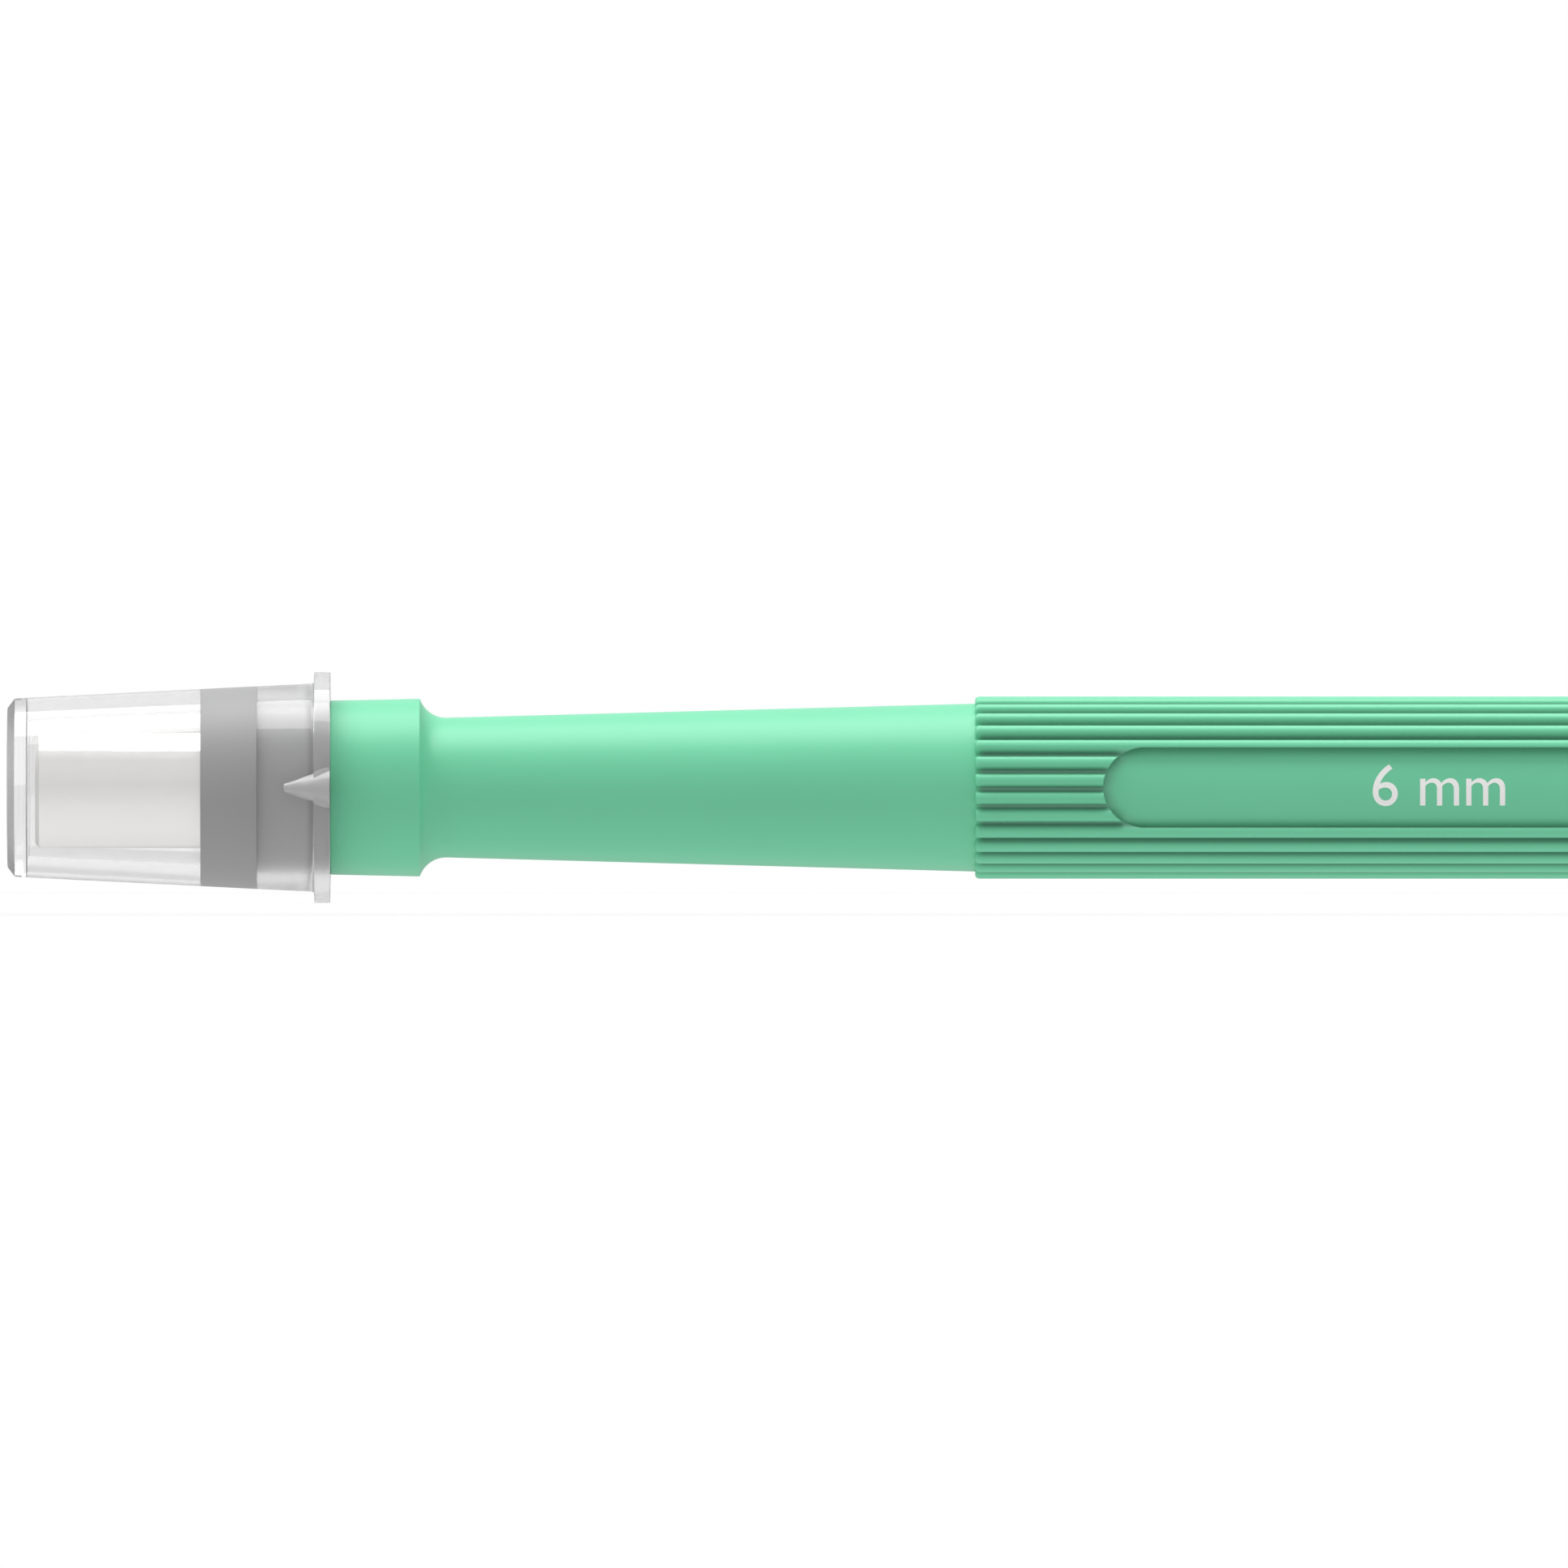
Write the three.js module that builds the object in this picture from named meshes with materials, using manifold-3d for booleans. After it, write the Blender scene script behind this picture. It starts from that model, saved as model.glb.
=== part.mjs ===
// A disposable skin biopsy punch in its clear protective cap.
// Millimetres, +Z up. The punch lies along X with its cap towards -X, and the
// origin is the centre of the flat rear end of the handle.
import * as THREE from "three";
import { mergeVertices } from "three/addons/utils/BufferGeometryUtils.js";
import Module from "manifold-3d";

// ---- driving dimensions ------------------------------------------------
// Stations along the punch are counted from the closed tip of the cap.
const LENGTH = 100;
const CAP_LENGTH = 17;
const BLADE_BORE_R = 3; // a punch is named by its bore: this one is the 6 mm size
const BLADE_WALL = 0.2;
const BLADE_TIP = 1.5; // clearance in front of the edge, inside the cap
const BLADE_REAR = 16.4;

const HUB_FRONT = 10.9;
const HUB_R = 4.5;

const COLLAR_R = 4.63;
const COLLAR_DRAFT = 0.05; // half the change of radius along the collar
const FILLET_R = 1.47;
const NECK_START = 23.1;
const NECK_START_R = 3.68;
const NECK_END_R = 4.42;

const GRIP_START = 50.94;
const GRIP_END = 99.2;
const GRIP_R = 4.795;
const RIB_COUNT = 30;
const RIB_TURN = Math.PI / 180;
const RIB_HEIGHT = 0.48;
const RIB_END_CHAMFER = 0.2;

const PANEL_START = 57.8;
const PANEL_END = 92.9;
const PANEL_HALF_HEIGHT = 2.05;
const PANEL_FLOOR_R = 4.2; // the floor is part of a round core, not flat

const CAP_DRAFT = 0.05; // growth of the cap's radius along its length
const CAP_TIP_R = 4.19;
const CAP_CHAMFER_R = 4.7;
const CAP_CHAMFER = 0.38;
const CAP_END_WALL = 1.1;
const CAP_CAVITY_R = 3.65;
const CAP_STEP = 10.3;
const CAP_SOCKET_R = 4.54;
const FLANGE_START = 16.15;
const FLANGE_R = 6.08;

const BAND_START = 10.19;
const BAND_END = 13.14;
const BAND_THICKNESS = 0.35;

const FLUTE_START = 14.3;
const FLUTE_TIP_R = 0.2;
const FLUTE_MOUTH_R = 1.05;
const FLUTE_WALL = 0.3;
const FLUTE_HOLLOW_START = 15.6;

const SOCKET_R = 3.45; // in the collar, for the hub's spigot
const SOCKET_END = 21;
const HUB_VENT_R = 1.5;
const CORE_START = 30;
const CORE_FRONT_R = 2.2;
const CORE_REAR_R = 2.9;

const PLUG_STEM_START = 94;
const PLUG_HEAD_R = 4.55;
const PLUG_EDGE = 0.25;

const SEGMENTS = 60;
const FLUTE_SEGMENTS = 20;

// ---- solids --------------------------------------------------------------
const wasm = await Module();
wasm.setup();

/** The closed solid of a geometry, for cutting and joining. */
function solidOf(geometry) {
  const bare = geometry.clone();
  bare.deleteAttribute("normal");
  bare.deleteAttribute("uv");
  const merged = mergeVertices(bare, 1e-5);
  const index = merged.index.array;
  const triangles = [];
  for (let i = 0; i < index.length; i += 3) {
    const [a, b, c] = [index[i], index[i + 1], index[i + 2]];
    if (a !== b && b !== c && c !== a) triangles.push(a, b, c);
  }
  return new wasm.Manifold(
    new wasm.Mesh({
      numProp: 3,
      vertProperties: merged.attributes.position.array,
      triVerts: new Uint32Array(triangles),
    }),
  );
}

/** The geometry of a solid, flat shaded. */
function geometryOf(solid) {
  const { numProp, vertProperties, triVerts } = solid.getMesh();
  const positions = new Float32Array((vertProperties.length / numProp) * 3);
  for (let i = 0; i < positions.length / 3; i++) {
    positions.set(vertProperties.subarray(i * numProp, i * numProp + 3), i * 3);
  }
  const geometry = new THREE.BufferGeometry();
  geometry.setAttribute("position", new THREE.BufferAttribute(positions, 3));
  geometry.setIndex(new THREE.BufferAttribute(triVerts, 1));
  geometry.computeVertexNormals();
  return geometry;
}

const alongX = (geometry) => geometry.rotateZ(-Math.PI / 2);

/** A shape turned about the punch's axis from [station, radius] points. */
function turned(points, segments = SEGMENTS) {
  const profile = points.map(([s, r]) => new THREE.Vector2(r, s - LENGTH));
  return alongX(new THREE.LatheGeometry(profile, segments));
}

/** A ring turned about the axis: its outline closes on itself. */
const turnedRing = (points) => turned([...points, points[0]]);

// ---- handle --------------------------------------------------------------
/** Points on the concave fillet that runs from the collar down to the neck. */
function filletPoints(steps) {
  const centreR = NECK_START_R + FILLET_R;
  const collarR = COLLAR_R + COLLAR_DRAFT;
  const from = Math.acos((centreR - collarR) / FILLET_R);
  return Array.from({ length: steps + 1 }, (_, i) => {
    const angle = from * (1 - i / steps);
    return [
      NECK_START - FILLET_R * Math.sin(angle),
      centreR - FILLET_R * Math.cos(angle),
    ];
  });
}

/** Collar, neck and the plain core of the grip that carries the ribs. */
function handleCore() {
  const root = GRIP_R - RIB_HEIGHT;
  return turned([
    [CAP_LENGTH, 0],
    [CAP_LENGTH, COLLAR_R - COLLAR_DRAFT],
    ...filletPoints(5),
    [GRIP_START, NECK_END_R],
    [GRIP_START, root],
    [GRIP_END, root],
    [GRIP_END, 0],
  ]);
}

/** The grip's ribs: one outline with every rib, drawn out along the axis. RIB_TURN
    swings the groove at the front a little below the middle. */
function ribbedBar() {
  const pitch = (2 * Math.PI) / RIB_COUNT;
  const rib = [
    [-0.39, RIB_HEIGHT],
    [-0.34, 0.16],
    [-0.18, 0],
    [0.18, 0],
    [0.34, 0.16],
    [0.39, RIB_HEIGHT],
  ];
  const outline = new THREE.Shape();
  for (let i = 0; i < RIB_COUNT; i++) {
    for (const [turn, drop] of rib) {
      const angle = (i + turn) * pitch + RIB_TURN;
      const r = GRIP_R - drop;
      const method = i === 0 && turn === rib[0][0] ? "moveTo" : "lineTo";
      outline[method](r * Math.cos(angle), r * Math.sin(angle));
    }
  }
  const bar = new THREE.ExtrudeGeometry(outline, {
    depth: GRIP_END - GRIP_START,
    bevelEnabled: false,
  });
  return bar.rotateY(Math.PI / 2).translate(GRIP_START - LENGTH, 0, 0);
}

/** The envelope that chamfers both ends of every rib. */
function ribEnvelope() {
  const low = GRIP_R - RIB_END_CHAMFER;
  return turned([
    [GRIP_START, 0],
    [GRIP_START, low],
    [GRIP_START + RIB_END_CHAMFER, GRIP_R + 0.01],
    [GRIP_END - RIB_END_CHAMFER, GRIP_R + 0.01],
    [GRIP_END, low],
    [GRIP_END, 0],
  ]);
}

/** The round-ended block over one label panel; side is -1 front, 1 back. */
function panelBlock(side) {
  const r = PANEL_HALF_HEIGHT;
  const [left, right] = [PANEL_START + r - LENGTH, PANEL_END - r - LENGTH];
  const stadium = new THREE.Shape();
  stadium.moveTo(left, -r);
  stadium.lineTo(right, -r);
  stadium.absarc(right, 0, r, -Math.PI / 2, Math.PI / 2);
  stadium.lineTo(left, r);
  stadium.absarc(left, 0, r, Math.PI / 2, (3 * Math.PI) / 2);
  const block = new THREE.ExtrudeGeometry(stadium, {
    depth: 2,
    bevelEnabled: false,
    curveSegments: 14,
  });
  return block.translate(0, 0, PANEL_FLOOR_R - 0.7).rotateX((-side * Math.PI) / 2);
}

/** What is cut away for both label panels: their blocks, down to the round floor. */
function panelCutters() {
  const floor = turned([
    [GRIP_START, 0],
    [GRIP_START, PANEL_FLOOR_R],
    [GRIP_END, PANEL_FLOOR_R],
    [GRIP_END, 0],
  ]);
  const blocks = solidOf(panelBlock(-1)).add(solidOf(panelBlock(1)));
  return blocks.subtract(solidOf(floor));
}

/** The hollows of the handle: the hub's socket and the core behind it. */
function handleHollows() {
  const socket = turned([
    [CAP_LENGTH - 1, 0],
    [CAP_LENGTH - 1, SOCKET_R],
    [SOCKET_END, SOCKET_R],
    [SOCKET_END, 0],
  ]);
  const core = turned([
    [CORE_START, 0],
    [CORE_START, CORE_FRONT_R],
    [PLUG_STEM_START, CORE_REAR_R],
    [GRIP_END + 1, CORE_REAR_R],
    [GRIP_END + 1, 0],
  ]);
  return solidOf(socket).add(solidOf(core));
}

function handleBody() {
  const ribs = solidOf(ribbedBar()).intersect(solidOf(ribEnvelope()));
  const body = solidOf(handleCore()).add(ribs).subtract(panelCutters());
  return geometryOf(body.subtract(handleHollows()));
}

/** The plug that closes the handle: a stem in the core and a flat round head. */
function endPlug() {
  return turned([
    [PLUG_STEM_START, 0],
    [PLUG_STEM_START, CORE_REAR_R],
    [GRIP_END, CORE_REAR_R],
    [GRIP_END, PLUG_HEAD_R],
    [LENGTH - PLUG_EDGE, PLUG_HEAD_R],
    [LENGTH, PLUG_HEAD_R - PLUG_EDGE],
    [LENGTH, 0],
  ]);
}

// ---- blade ---------------------------------------------------------------
/** The nose that grips the blade, with a spigot that presses into the collar. */
function bladeHub() {
  const bladeR = BLADE_BORE_R + BLADE_WALL;
  return turnedRing([
    [HUB_FRONT, bladeR],
    [HUB_FRONT, HUB_R - 0.3],
    [HUB_FRONT + 0.3, HUB_R],
    [CAP_LENGTH, HUB_R],
    [CAP_LENGTH, SOCKET_R],
    [SOCKET_END, SOCKET_R],
    [SOCKET_END, HUB_VENT_R],
    [BLADE_REAR, HUB_VENT_R],
    [BLADE_REAR, bladeR],
  ]);
}

/** The steel tube, ground to an edge from the outside. */
function punchBlade() {
  const outer = BLADE_BORE_R + BLADE_WALL;
  return turnedRing([
    [BLADE_TIP, BLADE_BORE_R],
    [BLADE_TIP, BLADE_BORE_R + 0.03],
    [BLADE_TIP + 0.45, outer],
    [BLADE_REAR, outer],
    [BLADE_REAR, BLADE_BORE_R],
  ]);
}

// ---- cap -----------------------------------------------------------------
const capOuterR = (s) => CAP_CHAMFER_R + CAP_DRAFT * (s - CAP_CHAMFER);

/** The cap's wall, with a groove round the outside for the band. */
function capShell() {
  const [grooveStartR, grooveEndR] = [BAND_START, BAND_END].map(
    (s) => capOuterR(s) - BAND_THICKNESS,
  );
  const stepR = CAP_CAVITY_R + CAP_DRAFT * (CAP_STEP - CAP_END_WALL) * 0.9;
  return turned([
    [0, 0],
    [0, CAP_TIP_R],
    [CAP_CHAMFER, CAP_CHAMFER_R],
    [BAND_START, capOuterR(BAND_START)],
    [BAND_START, grooveStartR],
    [BAND_END, grooveEndR],
    [BAND_END, capOuterR(BAND_END)],
    [FLANGE_START, capOuterR(FLANGE_START)],
    [FLANGE_START, FLANGE_R],
    [CAP_LENGTH, FLANGE_R],
    [CAP_LENGTH, CAP_SOCKET_R],
    [CAP_STEP + 0.3, CAP_SOCKET_R],
    [CAP_STEP, stepR],
    [CAP_END_WALL, CAP_CAVITY_R],
    [CAP_END_WALL, 0],
  ]);
}

/** A cone along X whose axis lies on the cap's skin, on the side given. */
function fluteCone(side, start, end, startR, endR) {
  const cone = new THREE.CylinderGeometry(
    endR,
    startR,
    end - start,
    FLUTE_SEGMENTS,
  );
  const skin = side * (capOuterR(CAP_LENGTH) - 0.05);
  return alongX(cone).translate((start + end) / 2 - LENGTH, skin, 0);
}

/** A small half-cone flute over the flange, hollow and open at the rear. */
function withFlute(shell, side) {
  const inside = FLUTE_WALL;
  const outer = fluteCone(side, FLUTE_START, CAP_LENGTH, FLUTE_TIP_R, FLUTE_MOUTH_R);
  const socket = turned([
    [CAP_STEP + 0.3, 0],
    [CAP_STEP + 0.3, CAP_SOCKET_R + 0.3],
    [CAP_LENGTH + 1, CAP_SOCKET_R + 0.3],
    [CAP_LENGTH + 1, 0],
  ]);
  const hollow = fluteCone(
    side,
    FLUTE_HOLLOW_START,
    CAP_LENGTH + 0.5,
    FLUTE_TIP_R,
    FLUTE_MOUTH_R + 0.15 - inside,
  );
  return shell
    .add(solidOf(outer).subtract(solidOf(socket)))
    .subtract(solidOf(hollow).subtract(solidOf(socket)));
}

function protectiveCap() {
  let cap = solidOf(capShell());
  for (const side of [-1, 1]) cap = withFlute(cap, side);
  return geometryOf(cap);
}

/** The ring that lies flush in the cap's groove. */
function sizeBand() {
  return turnedRing([
    [BAND_START, capOuterR(BAND_START) - BAND_THICKNESS],
    [BAND_START, capOuterR(BAND_START)],
    [BAND_END, capOuterR(BAND_END)],
    [BAND_END, capOuterR(BAND_END) - BAND_THICKNESS],
  ]);
}

// ---- assembly ------------------------------------------------------------
const finish = (color, roughness, metalness = 0, extra = {}) =>
  new THREE.MeshStandardMaterial({ color, roughness, metalness, ...extra });

const greenPlastic = finish(0x69bc95, 0.42);
const greyPlastic = finish(0x969696, 0.5);
const steel = finish(0xd5d3d0, 0.25, 1);
const clearPlastic = finish(0xf2f2f2, 0.15, 0, { transparent: true, opacity: 0.35 });

function piece(name, geometry, material) {
  const mesh = new THREE.Mesh(geometry, material);
  mesh.name = name;
  return mesh;
}

const punch = new THREE.Group();
punch.add(
  piece("handle_body", handleBody(), greenPlastic),
  piece("end_plug", endPlug(), greenPlastic),
  piece("blade_hub", bladeHub(), greyPlastic),
  piece("punch_blade", punchBlade(), steel),
);

const cap = new THREE.Group();
cap.add(
  piece("protective_cap", protectiveCap(), clearPlastic),
  piece("size_band", sizeBand(), greyPlastic),
);

export default new THREE.Group().add(punch, cap);
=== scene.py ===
# %% [markdown]
# # A disposable biopsy punch in its clear cap
#
# A biopsy punch is a short steel tube with a sharp rim, held in a plastic handle that is rolled
# between finger and thumb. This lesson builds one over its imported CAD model: a ribbed green handle, a
# grey nose, the steel tube, and a clear cap with a grey band. The CAD model fixes every place and
# size, so the first cell loads it and reads the boxes of its nodes.

# %% Load the frame
import math

import bmesh
import bpy
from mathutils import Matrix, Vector


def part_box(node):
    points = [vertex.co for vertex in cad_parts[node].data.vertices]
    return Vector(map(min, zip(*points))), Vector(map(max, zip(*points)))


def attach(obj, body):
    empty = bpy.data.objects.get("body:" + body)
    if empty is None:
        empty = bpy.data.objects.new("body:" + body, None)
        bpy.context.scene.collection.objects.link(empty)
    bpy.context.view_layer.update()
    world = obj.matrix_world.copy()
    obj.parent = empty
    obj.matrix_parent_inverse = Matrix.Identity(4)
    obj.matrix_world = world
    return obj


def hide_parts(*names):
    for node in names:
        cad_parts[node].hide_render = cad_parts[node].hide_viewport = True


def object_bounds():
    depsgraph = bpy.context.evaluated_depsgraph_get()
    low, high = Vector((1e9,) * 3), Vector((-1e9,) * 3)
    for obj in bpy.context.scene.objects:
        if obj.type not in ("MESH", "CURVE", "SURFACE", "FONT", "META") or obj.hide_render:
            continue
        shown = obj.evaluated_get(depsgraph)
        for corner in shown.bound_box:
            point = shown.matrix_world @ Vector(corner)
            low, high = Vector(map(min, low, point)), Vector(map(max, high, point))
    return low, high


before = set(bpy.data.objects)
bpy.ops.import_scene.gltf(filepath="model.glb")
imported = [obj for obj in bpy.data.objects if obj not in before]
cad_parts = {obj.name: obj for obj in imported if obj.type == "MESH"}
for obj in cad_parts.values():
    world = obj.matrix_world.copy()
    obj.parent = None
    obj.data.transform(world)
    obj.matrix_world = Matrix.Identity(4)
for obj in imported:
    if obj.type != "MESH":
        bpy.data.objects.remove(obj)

CAD_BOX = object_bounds()
MM = 0.001
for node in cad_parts:
    low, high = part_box(node)
    print(node, [round(v / MM, 2) for v in (*low, *high)])

# %% [markdown]
# ## Where things are
#
# The punch lies along X with its cap towards -X, and its rear end is at 0. Everything on it is
# turned about the X axis, so a place is a distance along X and a radius. The ends of the pieces
# come from the CAD boxes. The places inside a piece are measured from those ends.

# %% Places along the punch
cap_low, cap_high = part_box("protective_cap")
band_low, band_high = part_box("size_band")
hub_low, hub_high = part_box("blade_hub")
blade_low, blade_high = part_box("punch_blade")
_, handle_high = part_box("handle_body")
plug_low, plug_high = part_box("end_plug")

TIP = cap_low.x
CAP_MOUTH = cap_high.x
REAR = plug_high.x
GRIP_FRONT = TIP + 50.94 * MM
GRIP_REAR = handle_high.x
GRIP_R = 4.795 * MM
print("punch from", round(TIP / MM, 2), "to", round(REAR / MM, 2), "mm")

# %% [markdown]
# ## The camera
#
# The punch is seen square from its front side with hardly any perspective, as through a very long
# lens. A long lens from far off gives that look, and unlike an orthographic camera it can be moved
# round the punch and still frame it. Beyond about 1700 mm a view from another side stands so far off
# that the punch is past the camera's far limit, so the lens stays below that. The view ends before
# the rear of the handle does.

# %% Camera
LENS = 1600.0
SENSOR = 36.0
FAR_LIMIT = 100  # metres
VIEW_WIDTH = 82.56 * MM
VIEW_CENTRE = Vector((TIP + 40.88 * MM, 0, 0.19 * MM))

bpy.ops.object.select_all(action="DESELECT")
distance = VIEW_WIDTH * LENS / SENSOR
bpy.ops.object.camera_add(
    location=VIEW_CENTRE - Vector((0, distance, 0)),
    rotation=(math.radians(90), 0, 0),
)
camera = bpy.context.object
camera.name = "camera"
camera.data.lens = LENS
camera.data.sensor_width = SENSOR
camera.data.clip_end = FAR_LIMIT
bpy.context.scene.camera = camera
print("camera", round(distance, 3), "m away")

# %% [markdown]
# ## Studio
#
# Clear plastic and polished steel show the room as much as themselves, so the light is a plain
# white studio: a pale floor, a large soft panel overhead and a white surround that is a little
# greyer on the camera's side and dimmer beyond the handle's end. The panel's front edge gives the
# steel tube its one hard highlight. The floor is darker in a strip behind the punch, as if a grey
# card lay there, because clear plastic only shows its edges against something darker.

# %% Floor, light panel and surround
FLOOR_LIGHT = [  # mm behind the punch's axis, and how bright the floor is to the punch there
    (-40, 0.8),
    (-18, 0.84),
    (-8, 0.92),
    (-3, 0.96),
    (1, 0.9),
    (2.5, 0.68),
    (8.5, 0.66),
    (11, 0.92),
    (40, 0.95),
]
WALL_LIGHT = [  # how far a direction points away from the camera, and how bright the room is there
    (-1.0, 0.76),
    (-0.95, 0.79),
    (-0.8, 0.82),
    (-0.5, 0.78),
    (0.0, 0.78),
    (1.0, 0.82),
]
END_LIGHT = [  # how far a direction points towards the handle's end, and the share of light left
    (-1.0, 1.0),
    (0.3, 1.0),
    (0.8, 0.4),
    (1.0, 0.3),
]

FLOOR_R = 0.35
CLOTH_GREY = 0.35
FLOOR_LIFT = 0.58  # how much the floor glows to the camera, besides what light falls on it
LAMP_SIZE = (0.7, 0.29)
LAMP_BACK = 0.018  # how far behind the punch's axis the panel hangs
LAMP_HEIGHT = 0.35
LAMP_POWER = 2.04


def grey_ramp(tree, value, stops):
    """A brightness that runs through (value, brightness) stops."""
    first, last = stops[0][0], stops[-1][0]
    span = tree.nodes.new("ShaderNodeMapRange")
    span.inputs["From Min"].default_value = first
    span.inputs["From Max"].default_value = last
    ramp = tree.nodes.new("ShaderNodeValToRGB")
    marks = ramp.color_ramp.elements
    while len(marks) < len(stops):
        marks.new(0.5)
    for mark, (place, bright) in zip(marks, stops):
        mark.position = (place - first) / (last - first)
        mark.color = (bright, bright, bright, 1)
    tree.links.new(value, span.inputs["Value"])
    tree.links.new(span.outputs["Result"], ramp.inputs["Fac"])
    return ramp.outputs["Color"]


def pale_floor():
    """A round white floor that glows evenly for the punch and shows its shadow to the camera."""
    bpy.ops.object.select_all(action="DESELECT")
    bpy.ops.mesh.primitive_circle_add(
        vertices=96,
        radius=FLOOR_R,
        fill_type="NGON",
        location=(VIEW_CENTRE.x, 0, CAD_BOX[0].z),
    )
    floor = bpy.context.object
    floor.name = "floor"
    material = bpy.data.materials.new("pale_floor")
    material.use_nodes = True
    tree = material.node_tree
    tree.nodes.clear()
    cloth = tree.nodes.new("ShaderNodeBsdfDiffuse")
    cloth.inputs["Color"].default_value = (CLOTH_GREY, CLOTH_GREY, CLOTH_GREY, 1)
    lift = tree.nodes.new("ShaderNodeEmission")
    lift.inputs["Strength"].default_value = FLOOR_LIFT
    seen = tree.nodes.new("ShaderNodeAddShader")
    place = tree.nodes.new("ShaderNodeTexCoord")
    split = tree.nodes.new("ShaderNodeSeparateXYZ")
    lit = tree.nodes.new("ShaderNodeEmission")
    eye = tree.nodes.new("ShaderNodeLightPath")
    mix = tree.nodes.new("ShaderNodeMixShader")
    out = tree.nodes.new("ShaderNodeOutputMaterial")
    tree.links.new(cloth.outputs[0], seen.inputs[0])
    tree.links.new(lift.outputs[0], seen.inputs[1])
    tree.links.new(place.outputs["Object"], split.inputs[0])
    stops = [(far * MM, bright) for far, bright in FLOOR_LIGHT]
    tree.links.new(grey_ramp(tree, split.outputs["Y"], stops), lit.inputs["Color"])
    tree.links.new(eye.outputs["Is Camera Ray"], mix.inputs["Fac"])
    tree.links.new(lit.outputs[0], mix.inputs[1])
    tree.links.new(seen.outputs[0], mix.inputs[2])
    tree.links.new(mix.outputs[0], out.inputs["Surface"])
    floor.data.materials.append(material)
    return floor


def light_panel(name, place, size, aim, power):
    """A soft rectangular light at a place, turned to shine at the point aimed at."""
    bpy.ops.object.select_all(action="DESELECT")
    bpy.ops.object.light_add(type="AREA", location=place)
    lamp = bpy.context.object
    lamp.name = name
    lamp.data.shape = "RECTANGLE"
    lamp.data.size, lamp.data.size_y = size
    lamp.data.energy = power
    way = Vector(aim) - Vector(place)
    lamp.rotation_euler = way.to_track_quat("-Z", "Y").to_euler()
    return lamp


def white_surround():
    """A world that is white to the camera, and greyer and uneven to the punch."""
    world = bpy.data.worlds.new("surround")
    world.use_nodes = True
    tree = world.node_tree
    tree.nodes.clear()
    place = tree.nodes.new("ShaderNodeTexCoord")
    split = tree.nodes.new("ShaderNodeSeparateXYZ")
    lit = tree.nodes.new("ShaderNodeBackground")
    seen = tree.nodes.new("ShaderNodeBackground")
    seen.inputs["Strength"].default_value = 1.0
    seen.inputs["Color"].default_value = (1, 1, 1, 1)
    eye = tree.nodes.new("ShaderNodeLightPath")
    mix = tree.nodes.new("ShaderNodeMixShader")
    out = tree.nodes.new("ShaderNodeOutputWorld")
    tree.links.new(place.outputs["Generated"], split.inputs[0])
    tree.links.new(grey_ramp(tree, split.outputs["Y"], WALL_LIGHT), lit.inputs["Color"])
    tree.links.new(grey_ramp(tree, split.outputs["X"], END_LIGHT), lit.inputs["Strength"])
    tree.links.new(eye.outputs["Is Camera Ray"], mix.inputs["Fac"])
    tree.links.new(lit.outputs[0], mix.inputs[1])
    tree.links.new(seen.outputs[0], mix.inputs[2])
    tree.links.new(mix.outputs[0], out.inputs["Surface"])
    bpy.context.scene.world = world


pale_floor()
light_panel(
    "overhead_panel",
    place=(VIEW_CENTRE.x, LAMP_BACK, LAMP_HEIGHT),
    size=LAMP_SIZE,
    aim=(VIEW_CENTRE.x, LAMP_BACK, 0),
    power=LAMP_POWER,
)
white_surround()
bpy.context.scene.view_settings.view_transform = "Standard"
print("studio lit")

# %% [markdown]
# ## Helpers for turned pieces
#
# A lathe makes a round piece from its profile. In edit mode the same thing is done by starting from
# a ring of points round the axis, then extruding it along the axis and scaling it, one station
# after another. Each helper below is one of those moves.

# %% Ring helpers
WELD = 1e-7  # points nearer than this become one
NEAR = 1e-6  # how far off a ring's points may be and still be found
LEAST_CHANGE = 1e-9


def start_ring(name, x, radius, sides):
    """A new mesh that holds one ring round the X axis, in edit mode with the ring selected."""
    bpy.ops.object.select_all(action="DESELECT")
    bpy.ops.mesh.primitive_circle_add(
        vertices=sides,
        radius=radius,
        location=(x, 0, 0),
        rotation=(0, math.radians(90), 0),
    )
    piece = bpy.context.object
    piece.name = piece.data.name = name
    bpy.ops.object.transform_apply(location=True, rotation=True, scale=True)
    bpy.ops.object.mode_set(mode="EDIT")
    bpy.ops.mesh.select_mode(type="VERT")
    bpy.ops.mesh.select_all(action="SELECT")
    return piece


def carry_on(stations):
    """Extrude the selected ring through (x, radius) stations; the first is where it is now."""
    for (x0, r0), (x1, r1) in zip(stations, stations[1:]):
        bpy.ops.mesh.extrude_edges_move(
            TRANSFORM_OT_translate={"value": (x1 - x0, 0, 0)}
        )
        if abs(r1 - r0) > LEAST_CHANGE:
            bpy.ops.transform.resize(
                value=(1, r1 / r0, r1 / r0), center_override=(x1, 0, 0)
            )


def pick(piece, test):
    """Select the points of the mesh in edit mode whose place passes the test."""
    bpy.ops.mesh.select_all(action="DESELECT")
    mesh = bmesh.from_edit_mesh(piece.data)
    for point in mesh.verts:
        point.select = test(point.co)
    mesh.select_flush(True)
    bmesh.update_edit_mesh(piece.data)


def pick_ring(piece, x, radius):
    """Select the ring at a station and radius."""
    pick(
        piece,
        lambda p: abs(p.x - x) < NEAR and abs(math.hypot(p.y, p.z) - radius) < NEAR,
    )


def close_ring():
    """Close the selected ring with a fan of faces that meet on the axis."""
    bpy.ops.mesh.extrude_edges_move()
    bpy.ops.mesh.merge(type="CENTER")


def close_at(piece, x, radius):
    """Close the ring at a station and radius."""
    pick_ring(piece, x, radius)
    close_ring()


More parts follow.
